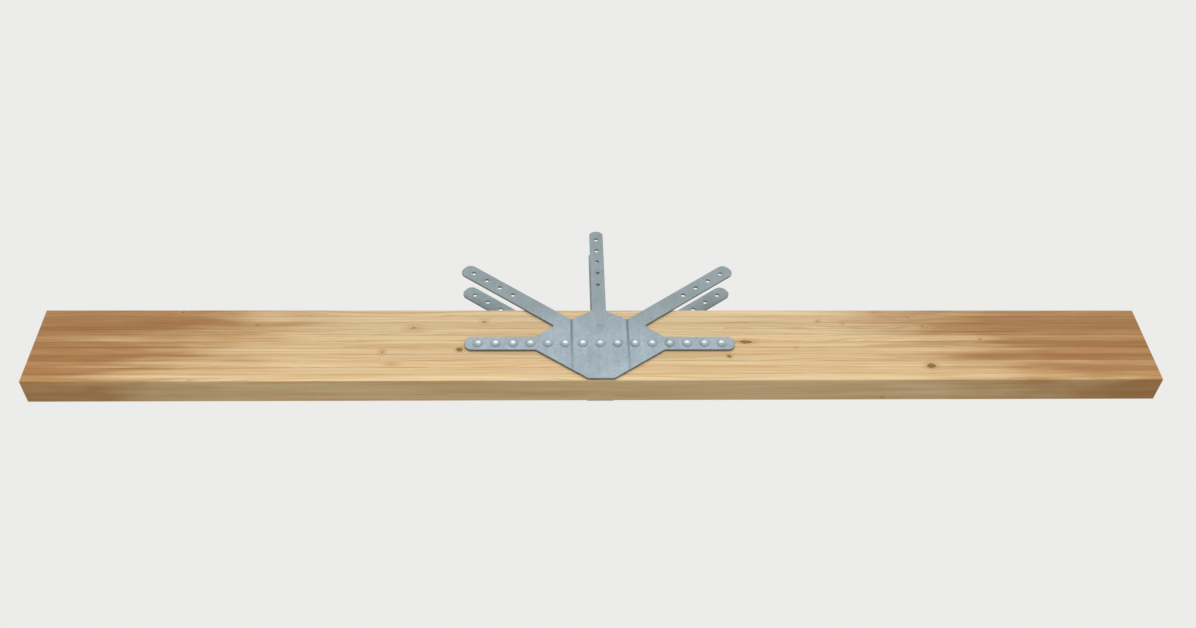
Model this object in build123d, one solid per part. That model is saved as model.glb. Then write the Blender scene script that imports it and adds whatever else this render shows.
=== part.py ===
from build123d import *
import math
import os

# Glued laminated timber beam with a pair of five-armed steel node plates bolted to its sides.
# Millimetres. X runs along the beam, the front face looks to -Y, and +Z is up.
# The origin is on the underside, at mid-length and mid-width, below the plates' work point.

# Timber: boards laid flat and glued face to face
LAMINATION_COUNT = 11
LAMINATION_DEPTH = 38.1
BEAM_WIDTH = 130.2
BEAM_LENGTH = 4876.8
ARRIS_RADIUS = 3.2

# Plates: flat steel cut to one outline, with arms that end in rounded corners
PLATE_THICKNESS = 9.5
PLATE_EDGE_EASE = 0.8
ARM_WIDTH = 76.2
POST_ARM_WIDTH = 63.5
ARM_CORNER_RADIUS = 31.75
POST_CORNER_RADIUS = 27.0
STRUT_ANGLE = 37.5

# Bolts and holes: one pitch for every row
BOLT_PITCH = 76.2
BOLT_DIAMETER = 19.05
HOLE_CLEARANCE = 1.55
EDGE_DISTANCE = 57.15
BEAM_BOLT_COUNT = 15
POST_HOLE_COUNT = 5
POST_FIRST_HOLE = 362.0
STRUT_HOLE_COUNT = 4
STRUT_FIRST_HOLE = 487.0

# Gusset: the wide middle of the plate, between the arms
SEAM_OFFSET = 124.0
POST_SHOULDER_RISE = 197.0
SIDE_SHOULDER_OFFSET = 285.0
LOWER_SHOULDER_OFFSET = 281.0
LOWER_EDGE_ANGLE = 36.3
PLATE_BOTTOM_LIFT = 6.35
NOTCH_RADIUS = 9.5
BOTTOM_CORNER_RADIUS = 12.7

# Weld seams between the middle panel and the two wings, dressed down to a shallow groove
SEAM_WIDTH = 5.0
SEAM_DEPTH = 1.2

# Fasteners: dome heads in front, washers and hexagon nuts at the back
HEAD_DIAMETER = 41.3
HEAD_RIM = 1.6
HEAD_HEIGHT = 10.3
WASHER_DIAMETER = 50.8
WASHER_THICKNESS = 3.8
NUT_ACROSS_FLATS = 28.6
NUT_HEIGHT = 16.3
NUT_EDGE_CHAMFER = 1.2
NUT_THREAD_CLEARANCE = 0.5
NUT_TURN_STEP = 23.0
BOLT_END_LENGTH = 7.0
BOLT_END_CHAMFER = 1.6

# Sizes worked out from the ones above
BEAM_DEPTH = LAMINATION_COUNT * LAMINATION_DEPTH
BOLT_ROW_HEIGHT = BEAM_DEPTH / 2
HOLE_DIAMETER = BOLT_DIAMETER + HOLE_CLEARANCE
HALF_ARM = ARM_WIDTH / 2
HALF_POST_ARM = POST_ARM_WIDTH / 2
BEAM_ARM_LENGTH = (BEAM_BOLT_COUNT - 1) / 2 * BOLT_PITCH + EDGE_DISTANCE
POST_ARM_LENGTH = POST_FIRST_HOLE + (POST_HOLE_COUNT - 1) * BOLT_PITCH + EDGE_DISTANCE
STRUT_ARM_LENGTH = STRUT_FIRST_HOLE + (STRUT_HOLE_COUNT - 1) * BOLT_PITCH + EDGE_DISTANCE
PLATE_OUTER_FACE = BEAM_WIDTH / 2 + PLATE_THICKNESS

# Ways that a round blank is set on the plane of its base: up from it, or down from it
STANDING = (Align.CENTER, Align.CENTER, Align.MIN)
HANGING = (Align.CENTER, Align.CENTER, Align.MAX)


def pitch_places(count, first):
    """Distances of the holes of one arm from the work point."""
    return [first + index * BOLT_PITCH for index in range(count)]


def beam_bolt_places():
    """Places along the beam of the through bolts, centred on the work point."""
    return pitch_places(BEAM_BOLT_COUNT, -(BEAM_BOLT_COUNT - 1) / 2 * BOLT_PITCH)


def through_hole(x, z, diameter, length):
    """A round bar across the beam, used to cut a hole."""
    return Location((x, 0, z), (90, 0, 0)) * Cylinder(diameter / 2, length)


def lamination(index):
    """One board of the stack, eased where it is an outer one, bored where bolts pass through it."""
    middle = (index + 0.5) * LAMINATION_DEPTH
    board = Pos(0, 0, middle) * Box(BEAM_LENGTH, BEAM_WIDTH, LAMINATION_DEPTH)
    long_edges = board.edges().filter_by(Axis.X).sort_by(Axis.Z)
    if index == 0:
        board = fillet(long_edges[:2], ARRIS_RADIUS)
    if index == LAMINATION_COUNT - 1:
        board = fillet(long_edges[-2:], ARRIS_RADIUS)
    if abs(middle - BOLT_ROW_HEIGHT) < (LAMINATION_DEPTH + HOLE_DIAMETER) / 2:
        holes = [
            through_hole(x, BOLT_ROW_HEIGHT, HOLE_DIAMETER, 2 * BEAM_WIDTH)
            for x in beam_bolt_places()
        ]
        board = board - holes
    return board


def strut_point(along, across):
    """A point of the right strut arm: along its axis from the work point, and across it upwards."""
    angle = math.radians(STRUT_ANGLE)
    x = along * math.cos(angle) - across * math.sin(angle)
    z = along * math.sin(angle) + across * math.cos(angle)
    return (x, z)


def upper_notch():
    """Where the seam meets the upper edge of the strut arm."""
    angle = math.radians(STRUT_ANGLE)
    along = (SEAM_OFFSET + HALF_ARM * math.sin(angle)) / math.cos(angle)
    return strut_point(along, HALF_ARM)


def lower_notch():
    """Where the side shoulder, which mirrors the strut's slope, meets the strut arm's lower edge."""
    angle = math.radians(STRUT_ANGLE)
    slope = math.tan(angle)
    strut_offset = HALF_ARM / math.cos(angle)
    x = (HALF_ARM + strut_offset + slope * SIDE_SHOULDER_OFFSET) / (2 * slope)
    return (x, slope * x - strut_offset)


def right_outline():
    """Corners of the plate's right half round the work point, from the bottom to the top.

    Each corner comes with the radius that rounds it.
    """
    end_radius = min(ARM_CORNER_RADIUS, 0.98 * HALF_ARM)
    post_radius = min(POST_CORNER_RADIUS, 0.98 * HALF_POST_ARM)
    bottom = PLATE_BOTTOM_LIFT - BOLT_ROW_HEIGHT
    bottom_run = (-HALF_ARM - bottom) / math.tan(math.radians(LOWER_EDGE_ANGLE))
    return [
        ((LOWER_SHOULDER_OFFSET - bottom_run, bottom), BOTTOM_CORNER_RADIUS),
        ((LOWER_SHOULDER_OFFSET, -HALF_ARM), NOTCH_RADIUS),
        ((BEAM_ARM_LENGTH, -HALF_ARM), end_radius),
        ((BEAM_ARM_LENGTH, HALF_ARM), end_radius),
        ((SIDE_SHOULDER_OFFSET, HALF_ARM), NOTCH_RADIUS),
        (lower_notch(), NOTCH_RADIUS),
        (strut_point(STRUT_ARM_LENGTH, -HALF_ARM), end_radius),
        (strut_point(STRUT_ARM_LENGTH, HALF_ARM), end_radius),
        (upper_notch(), NOTCH_RADIUS),
        ((HALF_POST_ARM, POST_SHOULDER_RISE), NOTCH_RADIUS),
        ((HALF_POST_ARM, POST_ARM_LENGTH), post_radius),
    ]


def plate_outline():
    """The plate's closed outline, drawn in X and Z round the work point."""
    right = right_outline()
    left = [((-x, z), radius) for (x, z), radius in reversed(right)]
    corners = right + left
    points = [(x, z) for (x, z), radius in corners]
    radii = [radius for point, radius in corners]
    return FilletPolyline(*points, radius=radii, close=True)


def hole_places():
    """Centres of all the holes of one plate, round the work point."""
    places = [(x, 0) for x in beam_bolt_places()]
    places += [(0, z) for z in pitch_places(POST_HOLE_COUNT, POST_FIRST_HOLE)]
    for along in pitch_places(STRUT_HOLE_COUNT, STRUT_FIRST_HOLE):
        x, z = strut_point(along, 0)
        places += [(x, z), (-x, z)]
    return places


def plate_blank():
    """One plate lying in the XY plane, its outer face up, with its holes and seam grooves."""
    blank = extrude(make_face(plate_outline()), PLATE_THICKNESS)
    rims = [face.outer_wire().edges() for face in blank.faces().filter_by(Axis.Z)]
    blank = chamfer(rims[0] + rims[1], PLATE_EDGE_EASE)
    blank = blank - [
        Pos(x, z, PLATE_THICKNESS / 2) * Cylinder(HOLE_DIAMETER / 2, 2 * PLATE_THICKNESS)
        for x, z in hole_places()
    ]
    groove = Box(SEAM_WIDTH, 2 * BEAM_DEPTH, 2 * SEAM_DEPTH)
    return blank - [Pos(side * SEAM_OFFSET, 0, PLATE_THICKNESS) * groove for side in (-1, 1)]


def node_plate(side):
    """The plate stood up against one side face of the beam: -1 is the front, 1 is the back."""
    half_turn = Rot(Z=0 if side < 0 else 180)
    return Pos(0, side * BEAM_WIDTH / 2, BOLT_ROW_HEIGHT) * half_turn * Rot(X=90) * plate_blank()


def dome_head():
    """A bolt head on its seat, crown up: a short rim below a part of a ball."""
    rim = HEAD_DIAMETER / 2
    rise = HEAD_HEIGHT - HEAD_RIM
    crown_radius = (rim**2 + rise**2) / (2 * rise)
    ball = Pos(0, 0, HEAD_HEIGHT - crown_radius) * Sphere(crown_radius)
    return Cylinder(rim, HEAD_HEIGHT, align=STANDING) & ball


def bolt(x):
    """A dome-headed bolt through both plates and the beam, its head on the front plate."""
    length = BEAM_WIDTH + 2 * PLATE_THICKNESS + WASHER_THICKNESS + NUT_HEIGHT + BOLT_END_LENGTH
    shank = Cylinder(BOLT_DIAMETER / 2, length, align=HANGING)
    shank = chamfer(shank.edges().sort_by(Axis.Z)[0], BOLT_END_CHAMFER)
    return Location((x, -PLATE_OUTER_FACE, BOLT_ROW_HEIGHT), (90, 0, 0)) * (dome_head() + shank)


def washer(x):
    """A round washer flat on the back plate."""
    ring = Cylinder(WASHER_DIAMETER / 2, WASHER_THICKNESS)
    ring = ring - Cylinder(HOLE_DIAMETER / 2, 2 * WASHER_THICKNESS)
    y = PLATE_OUTER_FACE + WASHER_THICKNESS / 2
    return Location((x, y, BOLT_ROW_HEIGHT), (90, 0, 0)) * ring


def nut(x, turn):
    """A hexagon nut flat on its washer, turned to where it came tight, its outer corners turned off."""
    body = extrude(RegularPolygon(NUT_ACROSS_FLATS / 2, 6, major_radius=False), NUT_HEIGHT)
    across_corners = NUT_ACROSS_FLATS / math.cos(math.pi / 6)
    blank = Cylinder(across_corners / 2, NUT_HEIGHT, align=STANDING)
    body = body & chamfer(blank.edges().sort_by(Axis.Z)[-1], NUT_EDGE_CHAMFER)
    body = body - Cylinder((BOLT_DIAMETER + NUT_THREAD_CLEARANCE) / 2, 3 * NUT_HEIGHT)
    seat = PLATE_OUTER_FACE + WASHER_THICKNESS
    return Location((x, seat, BOLT_ROW_HEIGHT), (-90, 0, 0)) * Rot(Z=turn) * body


def pieces():
    """Every piece of the beam by its name."""
    named = {}
    for index in range(LAMINATION_COUNT):
        named[f"lamination_{index + 1:02d}"] = lamination(index)
    named["node_plate_front"] = node_plate(-1)
    named["node_plate_back"] = node_plate(1)
    for number, x in enumerate(beam_bolt_places(), start=1):
        named[f"bolt_{number:02d}"] = bolt(x)
        named[f"washer_{number:02d}"] = washer(x)
        named[f"nut_{number:02d}"] = nut(x, number * NUT_TURN_STEP)
    return named


os.makedirs("parts", exist_ok=True)
for name, piece in pieces().items():
    export_step(piece, f"parts/{name}.step")
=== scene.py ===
"""Looks of a glued laminated timber beam with steel node plates, laid out as an add-on."""

import math

import bmesh
import bpy
from mathutils import Matrix, Vector


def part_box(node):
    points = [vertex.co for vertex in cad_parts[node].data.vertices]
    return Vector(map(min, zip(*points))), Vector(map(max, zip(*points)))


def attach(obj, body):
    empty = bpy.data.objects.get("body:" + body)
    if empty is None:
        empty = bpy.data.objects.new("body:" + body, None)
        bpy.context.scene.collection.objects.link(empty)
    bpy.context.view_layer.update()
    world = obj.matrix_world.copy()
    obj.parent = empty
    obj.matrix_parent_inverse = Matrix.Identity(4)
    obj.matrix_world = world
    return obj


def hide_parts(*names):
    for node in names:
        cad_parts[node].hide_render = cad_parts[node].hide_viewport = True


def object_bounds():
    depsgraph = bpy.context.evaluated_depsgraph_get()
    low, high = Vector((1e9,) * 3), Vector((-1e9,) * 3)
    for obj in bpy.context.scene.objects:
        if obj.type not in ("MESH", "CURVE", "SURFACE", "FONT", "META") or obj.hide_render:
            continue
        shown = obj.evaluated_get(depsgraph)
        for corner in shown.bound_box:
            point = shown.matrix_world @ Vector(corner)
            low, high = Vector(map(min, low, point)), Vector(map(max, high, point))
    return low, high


bl_info = {
    "name": "Glulam Beam Looks",
    "version": (1, 0, 0),
    "blender": (4, 5, 0),
    "location": "View3D > Sidebar > Glulam",
    "description": "Gives a laminated beam its timber, zinc and fasteners, and sets its stage",
    "category": "Object",
}

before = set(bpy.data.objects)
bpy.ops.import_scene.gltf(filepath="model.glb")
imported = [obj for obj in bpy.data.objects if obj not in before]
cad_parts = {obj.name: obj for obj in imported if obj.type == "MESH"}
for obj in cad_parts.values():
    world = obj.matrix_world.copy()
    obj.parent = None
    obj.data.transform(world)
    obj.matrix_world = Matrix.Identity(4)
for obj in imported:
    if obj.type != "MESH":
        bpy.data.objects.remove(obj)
CAD_BOUNDS = [list(corner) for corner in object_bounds()]

MM = 0.001

# Places of a Mix node's colour sockets: two inputs and the result
MIX_A, MIX_B, MIX_COLOUR = 6, 7, 2


def nodes_named(prefix):
    """The CAD nodes whose names start with a word, in the order of their numbers."""
    return [name for name in sorted(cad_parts) if name.startswith(prefix)]


# Sizes read from the CAD nodes
BOARDS = nodes_named("lamination_")
PLATES = nodes_named("node_plate_")
BOLTS = nodes_named("bolt_")
WASHERS = nodes_named("washer_")
NUTS = nodes_named("nut_")
BEAM_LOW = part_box(BOARDS[0])[0]
BEAM_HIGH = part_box(BOARDS[-1])[1]
BEAM_DEPTH = BEAM_HIGH.z - BEAM_LOW.z
BOARD_DEPTH = BEAM_DEPTH / len(BOARDS)
PLATE_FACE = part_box("node_plate_front")[0].y
PLATE_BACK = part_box("node_plate_back")[1].y
BOLT_MIDDLES = [(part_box(name)[0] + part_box(name)[1]) / 2 for name in BOLTS]
BOLT_PITCH = (BOLT_MIDDLES[-1].x - BOLT_MIDDLES[0].x) / (len(BOLTS) - 1)
ROW_HEIGHT = BOLT_MIDDLES[0].z

# Picks which boards are pale and which are deep in colour
BOARD_SEED = 5.51

# How far the pattern is moved from one board to the next, in metres, so that no two are alike
BOARD_SHIFT = 7.31

# A distance from a knot, in its radii, at which nothing of it shows
NO_KNOT = 9.0

# Faces that meet at less than this angle are shaded as one round surface
SMOOTH_ANGLE = math.radians(32)

# Knots that show on the front face, in millimetres: along from mid-length, up from the underside,
# half their length and half their height. The last number is how faint a knot is, from 0 to 1.
FRONT_KNOTS = [
    (-611, 180, 15, 12, 0.05),
    (640, 225, 36, 12, 0.2),
    (562, 139, 11, 9, 0.1),
    (-816, 310, 46, 24, 0.86),
    (-945, 168, 18, 17, 0.75),
    (-1838, 406, 36, 20, 0.75),
    (1439, 82, 21, 15, 0.0),
    (980, 350, 17, 13, 0.8),
    (862, 190, 13, 11, 1.0),
    (1449, 318, 18, 18, 0.75),
    (1691, 237, 13, 12, 0.6),
    (1249, 405, 30, 12, 0.75),
    (-1499, 329, 54, 14, 0.7),
    (-900, 96, 40, 14, 0.85),
    (1091, 335, 17, 15, 0.75),
    (1392, 374, 14, 12, 0.7),
    (-510, 347, 22, 18, 0.75),
]


def srgb(code):
    """A colour written as an sRGB hex code, as the linear colour that the shaders work in."""
    channels = [int(code[start:start + 2], 16) / 255 for start in (1, 3, 5)]
    linear = [c / 12.92 if c <= 0.04045 else ((c + 0.055) / 1.055) ** 2.4 for c in channels]
    return (*linear, 1.0)


def colour_setting(name, description, code):
    """A colour that a user can change."""
    return bpy.props.FloatVectorProperty(
        name=name, description=description, subtype="COLOR", size=4, min=0, max=1, default=srgb(code)
    )


def length_setting(name, description, millimetres):
    """A length that a user can change."""
    return bpy.props.FloatProperty(
        name=name, description=description, subtype="DISTANCE", unit="LENGTH", min=0,
        default=millimetres * MM,
    )


class GLULAM_PG_timber(bpy.types.PropertyGroup):
    """The boards: planed softwood under a clear finish"""

    earlywood: colour_setting("Earlywood", "Pale wood between the dark lines", "#E7CD9C")
    latewood: colour_setting("Latewood", "Dark line that ends each year's growth", "#B98B52")
    streak: colour_setting("Warm Streak", "Amber wood in long streaks", "#CC9858")
    # Painted shade that darkens the wood towards the ends and the top
    end_shade: colour_setting("Painted End Shade", "Tint that deepens the wood towards the ends", "#C3A46D")
    end_grain: colour_setting("End Grain", "Sawn ends, where the finish soaks in", "#A07A4C")
    knot: colour_setting("Knot", "Heart of a knot", "#8E6A24")
    knot_rim: colour_setting("Knot Rim", "Bark ring round a knot", "#442F0E")
    glue_line: colour_setting("Glue Line", "Thin dark line between two boards", "#6A4520")
    ring_spacing: length_setting("Ring Spacing", "Width of one year's growth", 3.4)
    # A real glue line is a few tenths of a millimetre high: it is drawn as high as it needs to show
    glue_width: length_setting("Glue Line Width", "Height of a glue line on a planed side", 1.4)


class GLULAM_PG_steel(bpy.types.PropertyGroup):
    """The plates and fasteners: steel under hot-dip zinc"""

    zinc: colour_setting("Zinc", "Mean tone of the weathered coat", "#88969E")
    zinc_dark: colour_setting("Dark Spangle", "The darker crystals of the coat", "#7F8D94")
    zinc_light: colour_setting("Light Spangle", "The paler crystals of the coat", "#919FA7")
    # Painted shade: the plate darkens upwards along its arms
    zinc_shaded: colour_setting("Shaded Zinc", "Darker coat high on the plate's arms", "#6C797A")
    # Partly the duller coat of the cut edges, partly painted shade on them
    edge: colour_setting("Cut Edge", "Darker coat on the cut edges", "#737A7D")
    # Painted shade in the seams and round the heads, and a faint dark patch
    painted_shade_and_patch: colour_setting("Painted Shade", "What falls in the seams and round the heads", "#5A6368")
    bolt_zinc: colour_setting("Bolt Zinc", "Brighter coat of the fasteners", "#AEBAC1")
    spangle: length_setting("Spangle", "Width of one zinc crystal", 9.0)
    seam_offset: length_setting("Seam Offset", "From the middle of the plate to a seam", 124.0)


class GLULAM_PG_fasteners(bpy.types.PropertyGroup):
    """Through bolts with dome heads, stamped washers and hexagon nuts"""

    shank: length_setting("Shank", "Diameter of the bolt", 19.05)
    head_rim: length_setting("Head Rim", "Height of the head's straight rim", 1.6)
    head_ease: length_setting("Head Ease", "Rounding of the head's rim", 0.6)
    thread_pitch: length_setting("Thread Pitch", "From one turn of the thread to the next", 2.54)
    thread_depth: length_setting("Thread Depth", "Height of the thread's ridge", 1.4)
    end_chamfer: length_setting("End Chamfer", "Chamfer on the end of the bolt", 1.6)
    bore: length_setting("Washer Bore", "Diameter of the washer's hole", 20.6)
    washer_ease: length_setting("Washer Ease", "Rounding that the stamp leaves", 0.9)
    across_flats: length_setting("Across Flats", "Width of the nut across its flats", 28.6)
    bore_mouth: length_setting("Bore Mouth", "Chamfer where the thread starts in the nut", 1.1)
    turn_steps: bpy.props.IntProperty(
        name="Steps Round", description="Facets round a turned surface", default=48, min=12, max=96
    )


class GLULAM_PG_stage(bpy.types.PropertyGroup):
    """Camera, lamps and background"""

    camera_place: bpy.props.FloatVectorProperty(
        name="Camera", description="Place of the camera, low in front of the beam", unit="LENGTH",
        subtype="TRANSLATION", default=(-0.227, -4.07, -3.485),
    )
    lens: bpy.props.FloatProperty(
        name="Lens", description="Focal length", subtype="DISTANCE_CAMERA", default=37.5, min=10
    )
    backdrop: colour_setting("Backdrop", "Pale background", "#ECECEA")
    floor: colour_setting("Floor", "Pale matt floor, with no line at its end", "#EEEEEC")
    daylight: bpy.props.FloatProperty(
        name="Daylight", description="Strength of the even light from all round", default=0.4, min=0
    )


def add(tree, kind, inputs=(), stops=(), **settings):
    """Adds a node. Inputs go to its sockets by place or by name: a node gives its first output."""
    made = tree.nodes.new("ShaderNode" + kind)
    for name, value in settings.items():
        setattr(made, name, value)
    pairs = inputs.items() if isinstance(inputs, dict) else enumerate(inputs)
    for socket, value in pairs:
        source = value.outputs[0] if isinstance(value, bpy.types.Node) else value
        if isinstance(source, bpy.types.NodeSocket):
            tree.links.new(source, made.inputs[socket])
        else:
            made.inputs[socket].default_value = source
    for index, (place, colour) in enumerate(stops):
        elements = made.color_ramp.elements
        element = elements[index] if index < 2 else elements.new(place)
        element.position = place
        element.color = colour
    return made


def new_material(name):
    """A new material, and its node tree with nothing in it yet."""
    material = bpy.data.materials.new(name)
    material.use_nodes = True
    material.node_tree.nodes.clear()
    return material, material.node_tree


def grey(value):
    """A grey stop of a ramp."""
    return (value, value, value, 1.0)


def per_size(*millimetres):
    """Scales that make a pattern's features as large as the sizes given."""
    return tuple(1 / (size * MM) for size in millimetres)


def board_place(tree):
    """A point's place in the beam, its board's number, and its place in that board's own pattern."""
    position = add(tree, "TexCoord").outputs["Object"]
    x, y, z = add(tree, "SeparateXYZ", [position]).outputs
    # The margin keeps the top and the underside in the outermost boards
    margin = 0.02 * BOARD_DEPTH
    inside = add(tree, "Clamp", [z, margin, BEAM_DEPTH - margin])
    boards_up = add(tree, "Math", [inside, BOARD_DEPTH], operation="DIVIDE")
    number = add(tree, "Math", [boards_up], operation="FLOOR")
    middle = add(tree, "Math", [number, BOARD_DEPTH, BOARD_DEPTH / 2], operation="MULTIPLY_ADD")
    up = add(tree, "Math", [z, middle], operation="SUBTRACT")
    shifted = add(tree, "Math", [number, BOARD_SHIFT, x], operation="MULTIPLY_ADD")
    place = add(tree, "CombineXYZ", [shifted, y, up])
    return position, number, place


def scattered_knots(tree, place):
    """Knots spread through the boards: how far the nearest is, in its radii, and the offset from it."""
    cell = (460, 80, 44)
    share_without = 0.72
    smallest, largest = 0.1 * MM, 11 * MM
    longer_along_grain = (0.6, 1.0, 1.0)
    scaled = add(tree, "VectorMath", [place, per_size(*cell)], operation="MULTIPLY")
    cells = add(tree, "TexVoronoi", {"Vector": scaled, "Scale": 1.0, "Randomness": 0.75})
    away = add(tree, "VectorMath", [scaled, cells.outputs["Position"]], operation="SUBTRACT")
    offset = add(tree, "VectorMath", [away, tuple(size * MM for size in cell)], operation="MULTIPLY")
    chance = add(tree, "SeparateColor", [cells.outputs["Color"]])
    radius = add(tree, "MapRange", {
        "Value": chance, "From Min": share_without, "From Max": 1.0, "To Min": smallest, "To Max": largest
    })
    oval = add(tree, "VectorMath", [offset, longer_along_grain], operation="MULTIPLY")
    length = add(tree, "VectorMath", [oval], operation="LENGTH").outputs["Value"]
    distance = add(tree, "Math", [length, radius], operation="DIVIDE")
    return distance, offset


def knot_field(tree, position, place):
    """Every knot: how far the nearest is, in its radii, and how the grain moves aside round them."""
    depth = add(tree, "SeparateXYZ", [position]).outputs["Y"]
    # 0 near the front face, where only the listed knots show, and NO_KNOT where only scattered ones do
    behind = add(tree, "MapRange", {
        "Value": depth, "From Min": BEAM_LOW.y * 0.7, "From Max": BEAM_LOW.y * 0.2,
        "To Min": 0.0, "To Max": NO_KNOT,
    })
    distance, offset = scattered_knots(tree, place)
    kept_off = add(tree, "Math", [NO_KNOT, behind], operation="SUBTRACT")
    distance = add(tree, "Math", [distance, kept_off], operation="ADD")
    pull = add(tree, "MapRange", {
        "Value": distance, "From Min": 0.2, "From Max": 2.6, "To Min": 0.75, "To Max": 0.0
    }, interpolation_type="SMOOTHSTEP")
    bend = add(tree, "VectorMath", {0: offset, "Scale": pull}, operation="SCALE")
    front = add(tree, "VectorMath", [position, (1.0, 0.0, 1.0)], operation="MULTIPLY")
    for along, up, half_length, half_height, faint in FRONT_KNOTS:
        centre = (along * MM, 0.0, up * MM)
        away = add(tree, "VectorMath", [front, centre], operation="SUBTRACT")
        radii = per_size(half_length, 1.0, half_height)
        oval = add(tree, "VectorMath", [away, radii], operation="MULTIPLY")
        length = add(tree, "VectorMath", [oval], operation="LENGTH").outputs["Value"]
        fading = add(tree, "Math", [behind, faint], operation="ADD")
        reach = add(tree, "Math", [length, fading], operation="ADD")
        distance = add(tree, "Math", [distance, reach], operation="MINIMUM")
        pull = add(tree, "MapRange", {
            "Value": reach, "From Min": 0.2, "From Max": 3.2, "To Min": 0.8, "To Max": 0.0
        }, interpolation_type="SMOOTHSTEP")
        bend = add(tree, "VectorMath", [away, pull, bend], operation="MULTIPLY_ADD")
    ragged = add(tree, "TexNoise", {
        "Vector": add(tree, "VectorMath", [place, per_size(26, 8, 8)], operation="MULTIPLY"),
        "Scale": 1.0, "Detail": 4.0, "Roughness": 0.6,
    })
    # The outline wanders in and out by parts of a radius
    wander, centring = 1.2, -0.55
    ragged = add(tree, "Math", [ragged, wander, centring], operation="MULTIPLY_ADD")
    distance = add(tree, "Math", [distance, ragged], operation="ADD")
    return distance, bend


def growth_rings(tree, wood, number, place, bend):
    """Year rings round a pith that lies below each board: how dark the latewood is at a point."""
    # The pith differs from board to board, by its spread, and sways along each board
    side_spread, side_sway = 110 * MM, 50 * MM
    drop, drop_spread, drop_sway = 22 * MM, 85 * MM, 30 * MM
    sways_per_metre = 0.55
    ripple_height = 4 * MM
    # Runs of wide and narrow rings move a ring by this many years
    run_shift, runs_per_year = 2.2, 0.45
    board_years_apart = 31.7
    faintest = 0.4
    chance = add(tree, "TexWhiteNoise", {"W": number}, noise_dimensions="1D")
    own = add(tree, "SeparateColor", [chance.outputs["Color"]])
    moved = add(tree, "VectorMath", [place, bend], operation="SUBTRACT")
    x, y, up = add(tree, "SeparateXYZ", [moved]).outputs
    along = add(tree, "Math", [x, sways_per_metre], operation="MULTIPLY")
    slow = add(tree, "TexNoise", {"W": along, "Scale": 1.0, "Detail": 1.0}, noise_dimensions="1D")
    sway = add(tree, "SeparateColor", [slow.outputs["Color"]])
    pith_y = add(tree, "Math", [own.outputs[0], side_spread, -side_spread / 2], operation="MULTIPLY_ADD")
    pith_y = add(tree, "Math", [sway.outputs[0], side_sway, pith_y], operation="MULTIPLY_ADD")
    pith_up = add(tree, "Math", [own.outputs[1], -drop_spread, -drop], operation="MULTIPLY_ADD")
    pith_up = add(tree, "Math", [sway.outputs[1], drop_sway, pith_up], operation="MULTIPLY_ADD")
    across = add(tree, "CombineXYZ", [
        0.0,
        add(tree, "Math", [y, pith_y], operation="SUBTRACT"),
        add(tree, "Math", [up, pith_up], operation="SUBTRACT"),
    ])
    radius = add(tree, "VectorMath", [across], operation="LENGTH").outputs["Value"]
    ripple = add(tree, "TexNoise", {
        "Vector": add(tree, "VectorMath", [moved, per_size(260, 40, 40)], operation="MULTIPLY"),
        "Scale": 1.0, "Detail": 2.0,
    })
    radius = add(tree, "Math", [ripple, ripple_height, radius], operation="MULTIPLY_ADD")
    years = add(tree, "Math", [radius, wood.ring_spacing], operation="DIVIDE")
    uneven = add(tree, "TexNoise", {
        "W": years, "Scale": runs_per_year, "Detail": 1.0
    }, noise_dimensions="1D")
    years = add(tree, "Math", [uneven, run_shift, years], operation="MULTIPLY_ADD")
    season = add(tree, "Math", [years], operation="FRACT")
    # Through one year the wood darkens slowly, and ends sharply
    latewood = add(tree, "ValToRGB", [season], stops=[
        (0.0, grey(0.0)), (0.42, grey(0.04)), (0.78, grey(0.62)), (0.92, grey(1.0)), (1.0, grey(0.0))
    ])
    year = add(tree, "Math", [years], operation="FLOOR")
    own_year = add(tree, "Math", [number, board_years_apart, year], operation="MULTIPLY_ADD")
    vigour = add(tree, "TexWhiteNoise", {"W": own_year}, noise_dimensions="1D")
    strength = add(tree, "Math", [vigour, 1 - faintest, faintest], operation="MULTIPLY_ADD")
    return add(tree, "Math", [latewood, strength], operation="MULTIPLY")


def glue_mask(tree, wood, position):
    """How strongly a joint shows: a thin glue line in a soft darker band, patchy along the beam."""
    patch_stretch, patch_scale = 2.2, 1.37
    band_reach, band_share = 11 * MM, 0.15
    x, _, z = add(tree, "SeparateXYZ", [position]).outputs
    boards_up = add(tree, "Math", [z, BOARD_DEPTH], operation="DIVIDE")
    nearest = add(tree, "Math", [boards_up], operation="ROUND")
    line = add(tree, "Clamp", [nearest, 1.0, len(BOARDS) - 1.0])
    height = add(tree, "Math", [line, BOARD_DEPTH], operation="MULTIPLY")
    above = add(tree, "Math", [z, height], operation="SUBTRACT")
    gap = add(tree, "Math", [above], operation="ABSOLUTE")
    along = add(tree, "Math", [x, patch_stretch], operation="MULTIPLY")
    place = add(tree, "CombineXYZ", [along, line])
    uneven = add(tree, "TexNoise", {"Vector": place, "Scale": patch_scale, "Detail": 3.0})
    strength = add(tree, "MapRange", {
        "Value": uneven, "From Min": 0.36, "From Max": 0.62, "To Min": 0.25, "To Max": 1.0
    })
    drawn = add(tree, "MapRange", {
        "Value": gap, "From Min": 0.25 * wood.glue_width, "From Max": 0.75 * wood.glue_width,
        "To Min": strength, "To Max": 0.0,
    }, interpolation_type="SMOOTHSTEP")
    band = add(tree, "MapRange", {
        "Value": gap, "From Min": 0.0, "From Max": band_reach, "To Min": band_share, "To Max": 0.0
    })
    return add(tree, "Math", [band, strength, drawn], operation="MULTIPLY_ADD", use_clamp=True)


def layered(tree, colour, *layers):
    """Lays colours over a first one, each by its share."""
    for share, above in layers:
        mixed = add(tree, "Mix", {0: share, MIX_A: colour, MIX_B: above}, data_type="RGBA")
        colour = mixed.outputs[MIX_COLOUR]
    return colour


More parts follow.
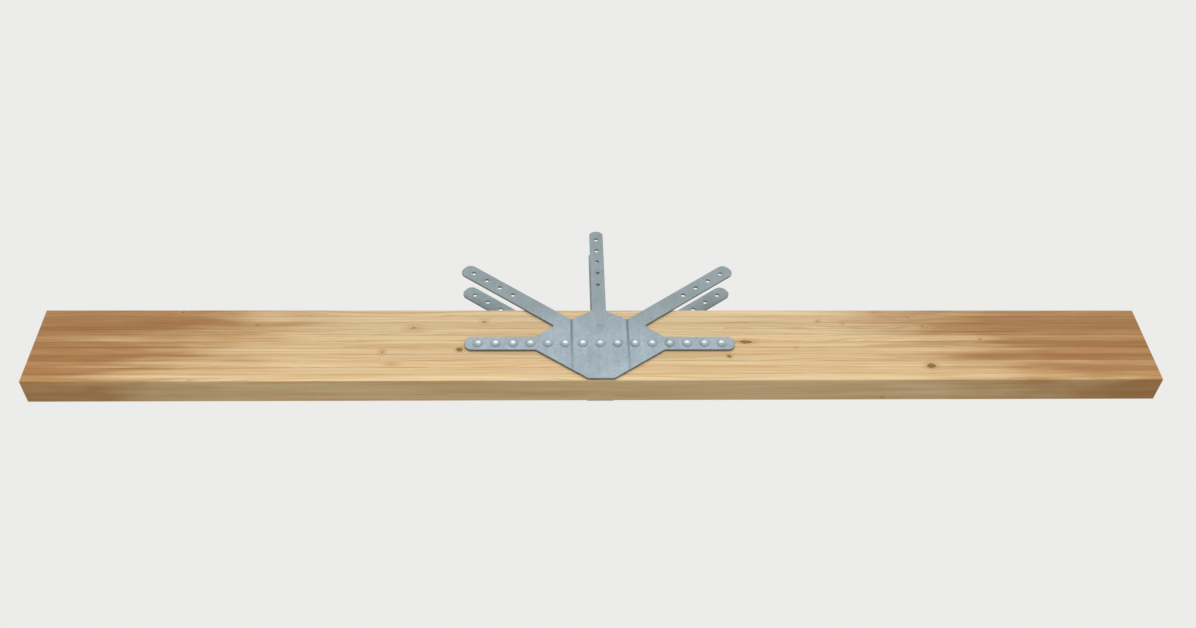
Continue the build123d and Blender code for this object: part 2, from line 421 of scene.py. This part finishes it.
def board_tone(tree, number, place):
    """How bright the wood is, by board and in soft streaks, how amber it is, and how pale its board."""
    deeper_upwards = -0.009
    warm_boards = 0.12
    streaks = add(tree, "TexNoise", {
        "Vector": add(tree, "VectorMath", [place, per_size(820, 36, 10)], operation="MULTIPLY"),
        "Scale": 1.0, "Detail": 3.0, "Roughness": 0.62,
    })
    amber, soft, _ = add(tree, "SeparateColor", [streaks.outputs["Color"]]).outputs
    picked = add(tree, "Math", [number, BOARD_SEED], operation="ADD")
    chance = add(tree, "TexWhiteNoise", {"W": picked}, noise_dimensions="1D")
    pale, warmth, _ = add(tree, "SeparateColor", [chance.outputs["Color"]]).outputs
    bright = add(tree, "MapRange", {"Value": pale, "To Min": 0.975, "To Max": 1.085})
    bright = add(tree, "Math", [number, deeper_upwards, bright], operation="MULTIPLY_ADD")
    soft = add(tree, "MapRange", {
        "Value": soft, "From Min": 0.3, "From Max": 0.7, "To Min": 0.9, "To Max": 1.08
    })
    brightness = add(tree, "Math", [bright, soft], operation="MULTIPLY")
    amber = add(tree, "Math", [warmth, warm_boards, amber], operation="MULTIPLY_ADD")
    amber = add(tree, "MapRange", {
        "Value": amber, "From Min": 0.5, "From Max": 0.82, "To Min": 0.0, "To Max": 0.7
    })
    return brightness, amber, pale


def painted_end_shade(tree, position, pale):
    """The share of painted shade, a deeper colour: more towards the ends and the top, less in pale
    boards, in streaks.
    """
    # Lengths along the beam, in metres: the palest place, and where the painted shade starts and ends
    palest, start, full = -0.08, 1.83, 2.8
    # What a metre of height, a pale board and a streak add to the length
    by_height, by_paleness, by_streak = 1.1, -0.2, 1.1
    most_share, less_in_pale, more_in_streak = 0.73, -0.2, 0.5
    x, _, z = add(tree, "SeparateXYZ", [position]).outputs
    from_palest = add(tree, "Math", [x, -palest], operation="ADD")
    along = add(tree, "Math", [from_palest], operation="ABSOLUTE")
    reach = add(tree, "Math", [z, by_height, along], operation="MULTIPLY_ADD")
    reach = add(tree, "Math", [pale, by_paleness, reach], operation="MULTIPLY_ADD")
    uneven = add(tree, "TexNoise", {
        "Vector": add(tree, "VectorMath", [position, per_size(450, 160, 40)], operation="MULTIPLY"),
        "Scale": 1.0, "Detail": 2.0,
    })
    reach = add(tree, "Math", [uneven, by_streak, reach], operation="MULTIPLY_ADD")
    share = add(tree, "MapRange", {
        "Value": reach, "From Min": start, "From Max": full, "To Min": 0.0, "To Max": 0.98
    }, interpolation_type="SMOOTHSTEP")
    most = add(tree, "Math", [pale, less_in_pale, most_share], operation="MULTIPLY_ADD")
    most = add(tree, "Math", [uneven, more_in_streak, most], operation="MULTIPLY_ADD")
    return add(tree, "Math", [share, most], operation="MULTIPLY", use_clamp=True)


def timber_colour(tree, wood, parts):
    """The boards' colour, from the growth rings up to the glue lines, and the fibres in the surface."""
    position, number, place, latewood, knot, glue, end_grain = parts
    less_on_ends = -0.75
    amber_of_end_shade = 0.5
    glue_share, end_share = 0.68, 0.35
    brightness, amber, pale = board_tone(tree, number, place)
    # The painted end shade tints the wood and warms it towards amber, less on the sawn ends
    end_shade = painted_end_shade(tree, position, pale)
    held_back = add(tree, "Math", [end_grain, less_on_ends, 1.0], operation="MULTIPLY_ADD")
    end_shade = add(tree, "Math", [end_shade, held_back], operation="MULTIPLY")
    amber = add(tree, "Math", [end_shade, amber_of_end_shade, amber], operation="MULTIPLY_ADD", use_clamp=True)
    colour = layered(tree, wood.earlywood, (latewood, wood.latewood), (amber, wood.streak))
    colour = add(tree, "VectorMath", {0: colour, "Scale": brightness}, operation="SCALE")
    tint = layered(tree, grey(1.0), (end_shade, wood.end_shade))
    colour = add(tree, "VectorMath", [colour, tint], operation="MULTIPLY")
    # Real fibres are much finer than 1.1 mm: they are drawn as coarse as they need to show
    fibres = add(tree, "TexNoise", {
        "Vector": add(tree, "VectorMath", [place, per_size(45, 1.1, 1.1)], operation="MULTIPLY"),
        "Scale": 1.0, "Detail": 2.0,
    })
    grain = add(tree, "MapRange", {
        "Value": fibres, "From Min": 0.3, "From Max": 0.7, "To Min": 0.93, "To Max": 1.05
    })
    colour = add(tree, "VectorMath", {0: colour, "Scale": grain}, operation="SCALE")
    halo = add(tree, "MapRange", {
        "Value": knot, "From Min": 0.9, "From Max": 2.4, "To Min": 0.6, "To Max": 0.0
    })
    heart = add(tree, "MapRange", {
        "Value": knot, "From Min": 0.7, "From Max": 1.2, "To Min": 0.9, "To Max": 0.0
    })
    # The knot's own rings from its middle outwards, and last the bark round it
    rim = add(tree, "ValToRGB", [knot], stops=[
        (0.0, grey(0.6)), (0.2, grey(0.1)), (0.36, grey(0.45)), (0.5, grey(0.1)), (0.8, grey(0.75)),
        (1.0, grey(0.0)),
    ])
    line = add(tree, "Math", [glue, glue_share], operation="MULTIPLY")
    dull = add(tree, "Math", [end_grain, end_share], operation="MULTIPLY")
    colour = layered(
        tree, colour, (halo, wood.latewood), (heart, wood.knot), (rim, wood.knot_rim),
        (line, wood.glue_line), (dull, wood.end_grain),
    )
    return colour, fibres


def planed_fir():
    """Douglas fir, planed and oiled: pale tan with amber lines, and darker on its sawn ends."""
    # Planing leaves fine fibres and the oil a satin sheen; the ends drink the oil and stay dull
    wood = bpy.context.scene.glulam_timber
    end_facing = 0.7
    glue_sunk = -1.2
    rougher_ends = 0.25
    material, tree = new_material("planed_fir")
    position, number, place = board_place(tree)
    knot, bend = knot_field(tree, position, place)
    latewood = growth_rings(tree, wood, number, place, bend)
    glue = glue_mask(tree, wood, position)
    facing = add(tree, "SeparateXYZ", [add(tree, "NewGeometry").outputs["Normal"]])
    facing = add(tree, "Math", [facing], operation="ABSOLUTE")
    end_grain = add(tree, "Math", [facing, end_facing], operation="GREATER_THAN")
    parts = (position, number, place, latewood, knot, glue, end_grain)
    colour, fibres = timber_colour(tree, wood, parts)
    relief = add(tree, "Math", [glue, glue_sunk, fibres], operation="MULTIPLY_ADD")
    bump = add(tree, "Bump", {"Height": relief, "Strength": 0.6, "Distance": 0.12 * MM})
    roughness = add(tree, "MapRange", {
        "Value": latewood, "From Min": 0.0, "From Max": 1.0, "To Min": 0.56, "To Max": 0.44
    })
    roughness = add(tree, "Math", [end_grain, rougher_ends, roughness], operation="MULTIPLY_ADD")
    shader = add(tree, "BsdfPrincipled", {
        "Base Color": colour, "Roughness": roughness, "Normal": bump, "Specular IOR Level": 0.35
    })
    add(tree, "OutputMaterial", [shader])
    return material


def zinc_coat(name, tones, metallic, roughness, marks=None):
    """Hot-dip zinc, weathered: dull blue-grey crystals in slightly different greys, soft reflections."""
    # The zinc froze in crystals as wide as a fingernail and ran down in faint bands. Then it went
    # dull: a chalky crust hides part of the metal, so it shines only in part.
    # The speckle is drawn coarser than the real grain of the coat, so that it shows.
    steel = bpy.context.scene.glulam_steel
    cloud_size, speckle_size = 110 * MM, 1.2 * MM
    cloud_share, run_share, crystal_share = 0.5, 0.3, 0.2
    duller, brighter = 0.08, -0.06
    dark, middle, light = tones
    material, tree = new_material(name)
    position = add(tree, "TexCoord").outputs["Object"]
    wavy = add(tree, "TexNoise", {
        "Vector": position, "Scale": 1 / steel.spangle, "Detail": 3.0
    }).outputs["Color"]
    push = (0.9 * steel.spangle,) * 3
    pushed = add(tree, "VectorMath", [wavy, push, position], operation="MULTIPLY_ADD")
    crystals = add(tree, "TexVoronoi", {
        "Vector": pushed, "Scale": 1 / steel.spangle, "Smoothness": 0.8
    }, feature="SMOOTH_F1")
    shade = add(tree, "SeparateColor", [crystals.outputs["Color"]])
    cloud = add(tree, "TexNoise", {
        "Vector": position, "Scale": 1 / cloud_size, "Detail": 4.0, "Roughness": 0.55
    })
    runs = add(tree, "TexNoise", {
        "Vector": add(tree, "VectorMath", [position, per_size(16, 40, 260)], operation="MULTIPLY"),
        "Scale": 1.0, "Detail": 3.0,
    })
    mottle = add(tree, "Math", [runs, run_share], operation="MULTIPLY")
    mottle = add(tree, "Math", [cloud, cloud_share, mottle], operation="MULTIPLY_ADD")
    mottle = add(tree, "Math", [shade, crystal_share, mottle], operation="MULTIPLY_ADD")
    toned = add(tree, "ValToRGB", [mottle], stops=[(0.28, dark), (0.5, middle), (0.72, light)])
    colour = toned.outputs["Color"]
    if marks:
        colour = marks(tree, steel, position, colour)
    speckle = add(tree, "TexNoise", {"Vector": position, "Scale": 1 / speckle_size, "Detail": 2.0})
    rough = add(tree, "MapRange", {
        "Value": mottle, "From Min": 0.2, "From Max": 0.8,
        "To Min": roughness + duller, "To Max": roughness + brighter,
    })
    bump = add(tree, "Bump", {"Height": speckle, "Strength": 0.25, "Distance": 0.1 * MM})
    shader = add(tree, "BsdfPrincipled", {
        "Base Color": colour, "Metallic": metallic, "Roughness": rough, "Normal": bump
    })
    add(tree, "OutputMaterial", [shader])
    return material


def plate_marks(tree, steel, position, colour):
    """What lies over the plates' coat: edges darkened by a dull coat and painted shade, painted shade up
    the arms, in the seams and round the heads, and a faint dark patch.
    """
    facing = add(tree, "SeparateXYZ", [add(tree, "NewGeometry").outputs["Normal"]]).outputs["Y"]
    # Edges darkened: partly a duller cut edge, partly painted shade
    edge = add(tree, "MapRange", {
        "Value": add(tree, "Math", [facing], operation="ABSOLUTE"),
        "From Min": 0.6, "From Max": 0.9, "To Min": 0.85, "To Max": 0.0,
    })
    x, _, z = add(tree, "SeparateXYZ", [position]).outputs
    from_middle = add(tree, "Math", [x], operation="ABSOLUTE")
    from_seam = add(tree, "Math", [from_middle, steel.seam_offset], operation="SUBTRACT")
    from_seam = add(tree, "Math", [from_seam], operation="ABSOLUTE")
    # Painted shadow along each seam's groove, stronger towards the top
    seam = add(tree, "MapRange", {
        "Value": from_seam, "From Min": 2 * MM, "From Max": 9 * MM, "To Min": 1.0, "To Max": 0.0
    }, interpolation_type="SMOOTHSTEP")
    fade = add(tree, "MapRange", {
        "Value": z, "From Min": ROW_HEIGHT - 120 * MM, "From Max": ROW_HEIGHT + 80 * MM,
        "To Min": 0.3, "To Max": 0.8,
    }, interpolation_type="SMOOTHSTEP")
    seam = add(tree, "Math", [seam, fade], operation="MULTIPLY")
    pitches = add(tree, "Math", [x, BOLT_PITCH], operation="DIVIDE")
    bolt_number = add(tree, "Math", [pitches], operation="ROUND")
    beside_bolt = add(tree, "Math", [bolt_number, -BOLT_PITCH, x], operation="MULTIPLY_ADD")
    above_row = add(tree, "Math", [z, ROW_HEIGHT], operation="SUBTRACT")
    away = add(tree, "CombineXYZ", [beside_bolt, 0.0, above_row])
    from_bolt = add(tree, "VectorMath", [away], operation="LENGTH").outputs["Value"]
    # Painted shade round the foot of each bolt head
    ring = add(tree, "MapRange", {
        "Value": from_bolt, "From Min": 20.6 * MM, "From Max": 25 * MM, "To Min": 0.55, "To Max": 0.0
    }, interpolation_type="SMOOTHSTEP")
    # Painted shade of the seams and round the heads
    painted_shade_and_patch = add(tree, "Math", [seam, ring], operation="MAXIMUM")
    # A faint dark patch on the middle of the plate, above the bolt row
    dark_patch_place = (0.0, 0.0, ROW_HEIGHT + 104 * MM)
    flat_place = add(tree, "VectorMath", [position, (1.0, 0.0, 1.0)], operation="MULTIPLY")
    from_dark_patch = add(tree, "VectorMath", [flat_place, dark_patch_place], operation="DISTANCE")
    dark_patch = add(tree, "MapRange", {
        "Value": from_dark_patch.outputs["Value"],
        "From Min": 4 * MM, "From Max": 26 * MM, "To Min": 0.3, "To Max": 0.0,
    }, interpolation_type="SMOOTHSTEP")
    painted_shade_and_patch = add(tree, "Math", [painted_shade_and_patch, dark_patch], operation="MAXIMUM")
    # Painted shade, deepening up the arms above the bolt row
    upper_shade = add(tree, "MapRange", {
        "Value": z, "From Min": ROW_HEIGHT, "From Max": ROW_HEIGHT + 280 * MM,
        "To Min": 0.0, "To Max": 0.65,
    }, interpolation_type="SMOOTHSTEP")
    return layered(tree, colour, (upper_shade, steel.zinc_shaded), (painted_shade_and_patch, steel.painted_shade_and_patch), (edge, steel.edge))


def plate_zinc():
    """The coat of the node plates: duller and rougher than that of the fasteners."""
    steel = bpy.context.scene.glulam_steel
    tones = (steel.zinc_dark, steel.zinc, steel.zinc_light)
    return zinc_coat("galvanised_plate_steel", tones, metallic=0.4, roughness=0.52, marks=plate_marks)


def fastener_zinc():
    """The brighter coat of bolts, washers and nuts, which the spinner leaves thinner and smoother."""
    name = "galvanised_fastener_steel"
    if name in bpy.data.materials:
        return bpy.data.materials[name]
    steel = bpy.context.scene.glulam_steel
    tones = (steel.zinc, steel.bolt_zinc, steel.bolt_zinc)
    return zinc_coat(name, tones, metallic=0.55, roughness=0.32)


def give_material(names, material):
    """Puts one material in every slot of the CAD nodes."""
    for name in names:
        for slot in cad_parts[name].material_slots:
            slot.material = material


def turn_about_y(bm, profile, steps, closed=False):
    """Spins a profile of (radius, place along Y) about the Y axis and closes its seam and poles."""
    verts = [bm.verts.new((radius, along, 0.0)) for radius, along in profile]
    following = verts[1:] + verts[:1] if closed else verts[1:]
    edges = [bm.edges.new(pair) for pair in zip(verts, following)]
    bmesh.ops.spin(
        bm, geom=verts + edges, cent=(0, 0, 0), axis=(0, 1, 0), angle=math.tau, steps=steps,
        use_merge=True,
    )
    bmesh.ops.remove_doubles(bm, verts=bm.verts, dist=0.001 * MM)


def finish_piece(bm, name, node, place, material):
    """Makes a mesh of a bmesh at its place, smooths its round faces, and lets it stand for a CAD node."""
    bmesh.ops.recalc_face_normals(bm, faces=bm.faces)
    bmesh.ops.translate(bm, verts=bm.verts, vec=place)
    for face in bm.faces:
        face.smooth = True
    for edge in bm.edges:
        edge.smooth = edge.calc_face_angle(0.0) < SMOOTH_ANGLE
    mesh = bpy.data.meshes.new(name)
    bm.to_mesh(mesh)
    bm.free()
    mesh.materials.append(material)
    piece = bpy.data.objects.new(name, mesh)
    bpy.context.scene.collection.objects.link(piece)
    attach(piece, "root")
    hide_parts(node)


def head_profile(low, seat, radius, rim, ease):
    """The dome head from its crown to its seat: part of a ball, an eased rim, and a flat underside."""
    rise = seat - low - rim
    ball = (radius**2 + rise**2) / (2 * rise)
    sweep = math.asin((radius - ease) / ball)
    steps = 12
    points = []
    for step in range(steps + 1):
        angle = sweep * step / steps
        points.append((ball * math.sin(angle), low + ball * (1 - math.cos(angle))))
    # The ease in two short slopes, and a small chamfer at the seat
    chamfer = 0.3 * ease
    points.append((radius - 0.25 * ease, points[-1][1] + 0.55 * ease))
    points.append((radius, points[-1][1] + 0.7 * ease))
    points.append((radius, seat - chamfer))
    points.append((radius - chamfer, seat))
    return points


def thread_ridge(bm, size, start, end, tip):
    """A screw thread: one ridge wound round the bolt, tapering off over the chamfer at its tip."""
    pitch = size.thread_pitch
    crest = size.shank / 2
    # The ridge's foot lies a little way inside the core
    sunk = 0.15 * MM
    root = crest - size.thread_depth - sunk
    half_foot, half_crest = 0.44 * pitch, 0.07 * pitch
    steps_per_turn = 32
    steps = round((end - start) / pitch * steps_per_turn)
    section = [
        (root, start - half_foot), (crest, start - half_crest),
        (crest, start + half_crest), (root, start + half_foot),
    ]
    first = [bm.verts.new((radius, along, 0.0)) for radius, along in section]
    edges = [bm.edges.new(pair) for pair in zip(first, first[1:] + first[:1])]
    spun = bmesh.ops.spin(
        bm, geom=first + edges, cent=(0, 0, 0), axis=(0, 1, 0), dvec=(0, pitch / steps_per_turn, 0),
        angle=math.tau * steps / steps_per_turn, steps=steps,
    )
    last = [item for item in spun["geom_last"] if isinstance(item, bmesh.types.BMVert)]
    bmesh.ops.contextual_create(bm, geom=first)
    bmesh.ops.contextual_create(bm, geom=last)
    for vert in bm.verts:
        radius = math.hypot(vert.co.x, vert.co.z)
        limit = crest - max(0.0, vert.co.y - (tip - size.end_chamfer))
        if vert.co.y > start - pitch and radius > limit:
            vert.co.x *= limit / radius
            vert.co.z *= limit / radius


def middle_of_row(low, high):
    """Where the axis of a bolt, washer or nut with this box crosses the plane of the beam's middle."""
    return Vector(((low.x + high.x) / 2, 0.0, (low.z + high.z) / 2))


def build_bolt(node, material):
    """A dome-headed bolt with a rolled thread on its end, in place of the plain one."""
    size = bpy.context.scene.glulam_fasteners
    low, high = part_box(node)
    head_radius = (high.x - low.x) / 2
    crest = size.shank / 2
    core = crest - size.thread_depth
    core_chamfer = 0.6 * size.end_chamfer
    thread_start = PLATE_BACK + 4 * MM
    bm = bmesh.new()
    profile = head_profile(low.y, PLATE_FACE, head_radius, size.head_rim, size.head_ease)
    profile += [
        (crest, PLATE_FACE),
        (crest, thread_start),
        (core, thread_start + size.thread_depth),
        (core, high.y - core_chamfer),
        (core - core_chamfer, high.y),
        (0.0, high.y),
    ]
    turn_about_y(bm, profile, size.turn_steps)
    first_turn = thread_start + size.thread_pitch
    last_turn = high.y - size.thread_pitch / 2
    thread_ridge(bm, size, first_turn, last_turn, high.y)
    finish_piece(bm, node + "_threaded", node, middle_of_row(low, high), material)


def build_washer(node, material):
    """A stamped washer: rounded on the side that the punch met, sharp on the other."""
    size = bpy.context.scene.glulam_fasteners
    low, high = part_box(node)
    outer = (high.x - low.x) / 2
    bore = size.bore / 2
    ease = size.washer_ease
    bore_ease = ease / 2
    outer_steps, bore_steps = 4, 3
    profile = [(bore, low.y), (outer, low.y)]
    for step in range(outer_steps + 1):
        angle = math.pi / 2 * step / outer_steps
        profile.append((outer - ease * (1 - math.cos(angle)), high.y - ease * (1 - math.sin(angle))))
    for step in range(bore_steps + 1):
        angle = math.pi / 2 * step / bore_steps
        inwards, down = bore_ease * (1 - math.sin(angle)), bore_ease * (1 - math.cos(angle))
        profile.append((bore + inwards, high.y - down))
    bm = bmesh.new()
    turn_about_y(bm, profile, size.turn_steps, closed=True)
    finish_piece(bm, node + "_stamped", node, middle_of_row(low, high), material)


def corner_angle(node, place):
    """The direction of one corner of a nut, about the Y axis."""
    offsets = [vert.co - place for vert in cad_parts[node].data.vertices]
    corner = max(offsets, key=lambda offset: math.hypot(offset.x, offset.z))
    return math.atan2(corner.z, corner.x)


def build_nut(node, material):
    """A hexagon nut, chamfered to a cone on both faces, with a countersunk bore."""
    size = bpy.context.scene.glulam_fasteners
    low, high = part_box(node)
    place = middle_of_row(low, high)
    half = size.across_flats / 2
    face = 0.965 * half
    past_corners = 1.2 * half
    bore = size.shank / 2 - 0.3 * size.thread_depth
    mouth = size.bore_mouth
    cone_slope = math.tan(math.radians(30))
    steps = 72
    profile = [
        (bore, low.y + mouth), (bore + mouth, low.y), (face, low.y), (past_corners, low.y),
        (past_corners, high.y), (face, high.y), (bore + mouth, high.y), (bore, high.y - mouth),
    ]
    bm = bmesh.new()
    turn_about_y(bm, profile, steps, closed=True)
    # The outer rings are drawn in to the six flats, and lowered by as much as the cone has fallen there
    for vert in bm.verts:
        radius = math.hypot(vert.co.x, vert.co.z)
        if radius < (face + past_corners) / 2:
            continue
        angle = math.atan2(vert.co.z, vert.co.x)
        off_flat = angle % (math.pi / 3) - math.pi / 6
        wanted = half / math.cos(off_flat)
        vert.co.x *= wanted / radius
        vert.co.z *= wanted / radius
        drop = (wanted - face) * cone_slope
        vert.co.y = low.y + drop if vert.co.y < (low.y + high.y) / 2 else high.y - drop
    turn = Matrix.Rotation(-corner_angle(node, place), 3, "Y")
    bmesh.ops.rotate(bm, verts=bm.verts, cent=(0, 0, 0), matrix=turn)
    finish_piece(bm, node + "_chamfered", node, place, material)


class GLULAM_OT_dress_boards(bpy.types.Operator):
    """Gives every board its planed softwood"""

    bl_idname = "glulam.dress_boards"
    bl_label = "Dress Boards"

    def execute(self, context):
        give_material(BOARDS, planed_fir())
        return {"FINISHED"}


class GLULAM_OT_dress_plates(bpy.types.Operator):
    """Gives both node plates their zinc"""

    bl_idname = "glulam.dress_plates"
    bl_label = "Dress Node Plates"

    def execute(self, context):
        give_material(PLATES, plate_zinc())
        return {"FINISHED"}


class GLULAM_OT_build_bolts(bpy.types.Operator):
    """Builds the dome-headed bolts with their threads"""

    bl_idname = "glulam.build_bolts"
    bl_label = "Build Bolts"

    def execute(self, context):
        for name in BOLTS:
            build_bolt(name, fastener_zinc())
        return {"FINISHED"}


class GLULAM_OT_build_washers(bpy.types.Operator):
    """Builds the stamped washers under the nuts"""

    bl_idname = "glulam.build_washers"
    bl_label = "Build Washers"

    def execute(self, context):
        for name in WASHERS:
            build_washer(name, fastener_zinc())
        return {"FINISHED"}


class GLULAM_OT_build_nuts(bpy.types.Operator):
    """Builds the hexagon nuts, each turned as it stopped"""

    bl_idname = "glulam.build_nuts"
    bl_label = "Build Nuts"

    def execute(self, context):
        for name in NUTS:
            build_nut(name, fastener_zinc())
        return {"FINISHED"}


def aimed(place, target, level):
    """A matrix at a place that looks at a target, with one direction level in the picture."""
    forward = (target - place).normalized()
    right = (level - forward * level.dot(forward)).normalized()
    up = right.cross(forward)
    turn = Matrix((right, up, -forward)).transposed()
    return Matrix.Translation(place) @ turn.to_4x4()


def add_camera(stage):
    """The camera, low in front of the beam, with the beam level across the picture."""
    low, high = (Vector(corner) for corner in CAD_BOUNDS)
    data = bpy.data.cameras.new("camera")
    data.lens = stage.lens
    camera = bpy.data.objects.new("camera", data)
    camera.matrix_world = aimed(Vector(stage.camera_place), (low + high) / 2, Vector((1, 0, 0)))
    bpy.context.scene.collection.objects.link(camera)
    bpy.context.scene.camera = camera


def add_sun(name, direction, softness, strength, mirrored):
    """A soft, even light from one direction, as wide in degrees as its softness."""
    data = bpy.data.lights.new(name, "SUN")
    data.angle = math.radians(softness)
    data.energy = strength
    sun = bpy.data.objects.new(name, data)
    sun.matrix_world = aimed(Vector(direction), Vector((0, 0, 0)), Vector((1, 0, 0)))
    sun.visible_glossy = mirrored
    bpy.context.scene.collection.objects.link(sun)


def pale_world(stage):
    """Even light all round, seen by the camera and in the metal as a pale background."""
    world = bpy.data.worlds.new("pale_world")
    world.use_nodes = True
    tree = world.node_tree
    tree.nodes.clear()
    rays = add(tree, "LightPath").outputs
    seen = add(tree, "Math", [rays["Is Camera Ray"], rays["Is Glossy Ray"]], operation="MAXIMUM")
    seen = add(tree, "Math", [seen, rays["Is Transmission Ray"]], operation="MAXIMUM")
    light = add(tree, "Background", {"Color": grey(1.0), "Strength": stage.daylight})
    shown = add(tree, "Background", {"Color": stage.backdrop, "Strength": 1.0})
    add(tree, "OutputWorld", [add(tree, "MixShader", [seen, light, shown])])
    bpy.context.scene.world = world


def floor_material(stage):
    """A pale matt floor that shows from above only, so that the beam can be seen from below."""
    material, tree = new_material("pale_floor")
    below = add(tree, "NewGeometry").outputs["Backfacing"]
    above = add(tree, "Math", [1.0, below], operation="SUBTRACT")
    to_camera = add(tree, "LightPath").outputs["Is Camera Ray"]
    shown = add(tree, "Math", [above, to_camera], operation="MULTIPLY")
    matt = add(tree, "BsdfDiffuse", {"Color": stage.floor})
    clear = add(tree, "BsdfTransparent")
    add(tree, "OutputMaterial", [add(tree, "MixShader", [shown, clear, matt])])
    return material


def add_floor(stage):
    """The floor, a hair below the underside of the beam."""
    half_width, hair = 40.0, 0.5 * MM
    bm = bmesh.new()
    bmesh.ops.create_grid(bm, x_segments=1, y_segments=1, size=half_width)
    bmesh.ops.translate(bm, verts=bm.verts, vec=(0, 0, BEAM_LOW.z - hair))
    mesh = bpy.data.meshes.new("floor")
    bm.to_mesh(mesh)
    bm.free()
    mesh.materials.append(floor_material(stage))
    floor = bpy.data.objects.new("floor", mesh)
    bpy.context.scene.collection.objects.link(floor)


class GLULAM_OT_set_stage(bpy.types.Operator):
    """Sets the camera, the lamps, the floor and the background"""

    bl_idname = "glulam.set_stage"
    bl_label = "Set Stage"

    def execute(self, context):
        stage = context.scene.glulam_stage
        add_camera(stage)
        add_sun("key_sun", (0.05, -1.0, 0.76), softness=60, strength=1.75, mirrored=True)
        add_sun("low_sun", (0.25, -0.8, -0.58), softness=60, strength=0.5, mirrored=False)
        add_sun("rear_sun", (0.4, 1.0, 0.66), softness=45, strength=1.5, mirrored=True)
        pale_world(stage)
        add_floor(stage)
        context.scene.view_settings.view_transform = "Standard"
        return {"FINISHED"}


class GLULAM_PT_panel(bpy.types.Panel):
    """The beam's operators and settings in the 3D view's sidebar"""

    bl_idname = "GLULAM_PT_panel"
    bl_label = "Glulam Beam"
    bl_space_type = "VIEW_3D"
    bl_region_type = "UI"
    bl_category = "Glulam"

    def draw(self, context):
        for operator in OPERATORS:
            self.layout.operator(operator.bl_idname)
        for name in SETTINGS:
            group = getattr(context.scene, name)
            box = self.layout.box()
            for setting in group.bl_rna.properties:
                if setting.identifier not in ("rna_type", "name"):
                    box.prop(group, setting.identifier)


SETTINGS = {
    "glulam_timber": GLULAM_PG_timber,
    "glulam_steel": GLULAM_PG_steel,
    "glulam_fasteners": GLULAM_PG_fasteners,
    "glulam_stage": GLULAM_PG_stage,
}
OPERATORS = (
    GLULAM_OT_dress_boards,
    GLULAM_OT_dress_plates,
    GLULAM_OT_build_bolts,
    GLULAM_OT_build_washers,
    GLULAM_OT_build_nuts,
    GLULAM_OT_set_stage,
)


def register():
    """Adds the settings, the operators and the panel."""
    for name, group in SETTINGS.items():
        bpy.utils.register_class(group)
        setattr(bpy.types.Scene, name, bpy.props.PointerProperty(type=group))
    for kind in (*OPERATORS, GLULAM_PT_panel):
        bpy.utils.register_class(kind)


def unregister():
    """Takes them away again."""
    for kind in reversed((*OPERATORS, GLULAM_PT_panel)):
        bpy.utils.unregister_class(kind)
    for name, group in SETTINGS.items():
        delattr(bpy.types.Scene, name)
        bpy.utils.unregister_class(group)


def build_beam():
    """Runs the operators in order."""
    register()
    bpy.ops.glulam.dress_boards()
    bpy.ops.glulam.dress_plates()
    bpy.ops.glulam.build_bolts()
    bpy.ops.glulam.build_washers()
    bpy.ops.glulam.build_nuts()
    bpy.ops.glulam.set_stage()


if __name__ == "__main__":
    build_beam()
